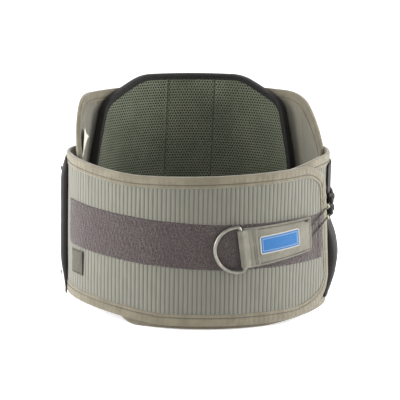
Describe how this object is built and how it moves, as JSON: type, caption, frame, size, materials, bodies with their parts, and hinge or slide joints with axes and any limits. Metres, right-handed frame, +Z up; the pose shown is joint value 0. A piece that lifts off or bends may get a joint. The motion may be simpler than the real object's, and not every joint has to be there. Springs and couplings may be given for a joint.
{
  "type": "lumbar support belt",
  "caption": "Lumbar support belt with overlapping elastic wings, mesh back pad, D-ring pull tab and a lacing and pulley tightener at the back.",
  "frame": {"origin": "on the floor under the middle of the closed belt's box", "axes": "+Z up, -Y the wearer's front with the flap and pull tab, +Y the back, -X left as seen from the front"},
  "size_m": [0.3235, 0.2399, 0.256],
  "materials": {
    "ribbed_elastic": "ribbed grey-green elastic",
    "lining": "brushed grey lining",
    "binding": "taupe woven edge binding",
    "spacer_mesh": "3-D spacer mesh with open hexagons",
    "black_binding": "black woven edge binding",
    "loop_tape": "grey brushed loop tape",
    "hook_tape": "black moulded hook tape",
    "tab_webbing": "taupe webbing with stitched edges",
    "badge_weave": "plain woven badge, no lettering",
    "label_cloth": "white woven label, blank",
    "size_cloth": "olive woven tab, blank",
    "steel_wire": "nickel-plated round wire",
    "rivet_steel": "plain steel rivets, axles and screws",
    "shell_plastic": "black grained side shell",
    "housing_plastic": "black moulded housing",
    "plate_plastic": "dark grey polypropylene sheet",
    "pulley_nylon": "natural nylon",
    "cord": "black braided cord",
    "stay_plastic": "stiff plastic sheet"
  },
  "bodies": {
    "root": {"back_panel": "lining", "back_panel_binding": "binding", "back_pad": "spacer_mesh", "back_pad_binding": "black_binding", "lumbar_stiffener": "stay_plastic", "slide_plate": "plate_plastic", "slide_plate_rivets": "rivet_steel", "left_wing": "ribbed_elastic", "left_wing_binding": "binding", "right_wing": "ribbed_elastic", "right_wing_binding": "binding", "left_stay": "stay_plastic", "right_stay": "stay_plastic", "left_side_cover": "shell_plastic", "right_side_cover": "shell_plastic", "cover_rivets": "rivet_steel", "cord_guide": "shell_plastic", "cord_sleeve": "shell_plastic", "care_label": "label_cloth", "left_gusset": "ribbed_elastic", "right_gusset": "ribbed_elastic", "pull_cords_side": "cord"},
    "flap": {"front_flap": "ribbed_elastic", "front_flap_binding": "binding", "loop_strip": "loop_tape", "closure_hook": "hook_tape", "size_tab": "size_cloth", "pull_cords_lead": "cord"},
    "tab": {"pull_tab": "tab_webbing", "ring_loop": "tab_webbing", "tab_hook": "hook_tape", "tab_badge": "badge_weave", "tab_rivet": "rivet_steel", "pull_cords_run": "cord"},
    "ring": {"d_ring": "steel_wire"},
    "left_housing": {"left_housing_base": "housing_plastic", "left_housing_bar": "housing_plastic", "left_axles": "rivet_steel", "left_bar_screws": "rivet_steel", "lacing_left": "cord"},
    "left_pulley_1": {"left_pulley_1": "pulley_nylon"},
    "left_pulley_2": {"left_pulley_2": "pulley_nylon"},
    "left_pulley_3": {"left_pulley_3": "pulley_nylon"},
    "left_pulley_4": {"left_pulley_4": "pulley_nylon"},
    "right_housing": {"right_housing_base": "housing_plastic", "right_housing_bar": "housing_plastic", "right_axles": "rivet_steel", "right_bar_screws": "rivet_steel", "lacing_right": "cord"},
    "right_pulley_1": {"right_pulley_1": "pulley_nylon"},
    "right_pulley_2": {"right_pulley_2": "pulley_nylon"},
    "right_pulley_3": {"right_pulley_3": "pulley_nylon"},
    "right_pulley_4": {"right_pulley_4": "pulley_nylon"}
  },
  "joints": [
    {"name": "flap_open", "type": "hinge", "parent": "root", "child": "flap", "pos_m": [-0.15358, -0.0067, 0.09], "axis": [0, 0, -1], "range_deg": [0, 45], "deforming": ["pull_cords_lead"]},
    {"name": "tab_travel", "type": "hinge", "parent": "flap", "child": "tab", "pos_m": [0, 0.0548, 0.094], "axis": [0, 0, -1], "range_deg": [0, 40], "deforming": ["pull_cords_run"]},
    {"name": "ring_swing", "type": "hinge", "parent": "tab", "child": "ring", "pos_m": [0.0394, -0.11612, 0.0932], "axis": [-0.142, -0.0129, 0.9898], "range_deg": [0, 150]},
    {"name": "left_housing_slide", "type": "hinge", "parent": "root", "child": "left_housing", "pos_m": [0, -0.0442, 0.1235], "axis": [0, 0, -1], "range_deg": [0, 4.7], "deforming": ["lacing_left", "left_gusset"]},
    {"name": "right_housing_slide", "type": "hinge", "parent": "root", "child": "right_housing", "pos_m": [0, -0.0442, 0.1235], "axis": [0, 0, 1], "range_deg": [0, 4.7], "deforming": ["lacing_right", "right_gusset"]},
    {"name": "left_pulley_1_spin", "type": "hinge", "parent": "left_housing", "child": "left_pulley_1", "pos_m": [-0.05671, 0.1116, 0.1575], "axis": [0.342, -0.9397, 0], "range_deg": [0, 556.7]},
    {"name": "left_pulley_2_spin", "type": "hinge", "parent": "left_housing", "child": "left_pulley_2", "pos_m": [-0.05671, 0.1116, 0.1355], "axis": [0.342, -0.9397, 0], "range_deg": [0, 1111.4]},
    {"name": "left_pulley_3_spin", "type": "hinge", "parent": "left_housing", "child": "left_pulley_3", "pos_m": [-0.05671, 0.1116, 0.1115], "axis": [-0.342, 0.9397, 0], "range_deg": [0, 1111.4]},
    {"name": "left_pulley_4_spin", "type": "hinge", "parent": "left_housing", "child": "left_pulley_4", "pos_m": [-0.05671, 0.1116, 0.0895], "axis": [-0.342, 0.9397, 0], "range_deg": [0, 556.7]},
    {"name": "right_pulley_1_spin", "type": "hinge", "parent": "right_housing", "child": "right_pulley_1", "pos_m": [0.05671, 0.1116, 0.1685], "axis": [0.342, 0.9397, 0], "range_deg": [0, 279.3]},
    {"name": "right_pulley_2_spin", "type": "hinge", "parent": "right_housing", "child": "right_pulley_2", "pos_m": [0.05671, 0.1116, 0.1465], "axis": [0.342, 0.9397, 0], "range_deg": [0, 834]},
    {"name": "right_pulley_3_spin", "type": "hinge", "parent": "right_housing", "child": "right_pulley_3", "pos_m": [0.05671, 0.1116, 0.1005], "axis": [-0.342, -0.9397, 0], "range_deg": [0, 834]},
    {"name": "right_pulley_4_spin", "type": "hinge", "parent": "right_housing", "child": "right_pulley_4", "pos_m": [0.05671, 0.1116, 0.0785], "axis": [-0.342, -0.9397, 0], "range_deg": [0, 279.3]}
  ],
  "couplings": [
    {"joint": "left_housing_slide", "follows": "tab_travel", "ratio": 0.115},
    {"joint": "right_housing_slide", "follows": "tab_travel", "ratio": 0.115},
    {"joint": "left_pulley_1_spin", "follows": "tab_travel", "ratio": 13.867},
    {"joint": "left_pulley_2_spin", "follows": "tab_travel", "ratio": 27.734},
    {"joint": "left_pulley_3_spin", "follows": "tab_travel", "ratio": 27.734},
    {"joint": "left_pulley_4_spin", "follows": "tab_travel", "ratio": 13.867},
    {"joint": "right_pulley_1_spin", "follows": "tab_travel", "ratio": 6.9335},
    {"joint": "right_pulley_2_spin", "follows": "tab_travel", "ratio": 20.8},
    {"joint": "right_pulley_3_spin", "follows": "tab_travel", "ratio": 20.8},
    {"joint": "right_pulley_4_spin", "follows": "tab_travel", "ratio": 6.9335}
  ]
}
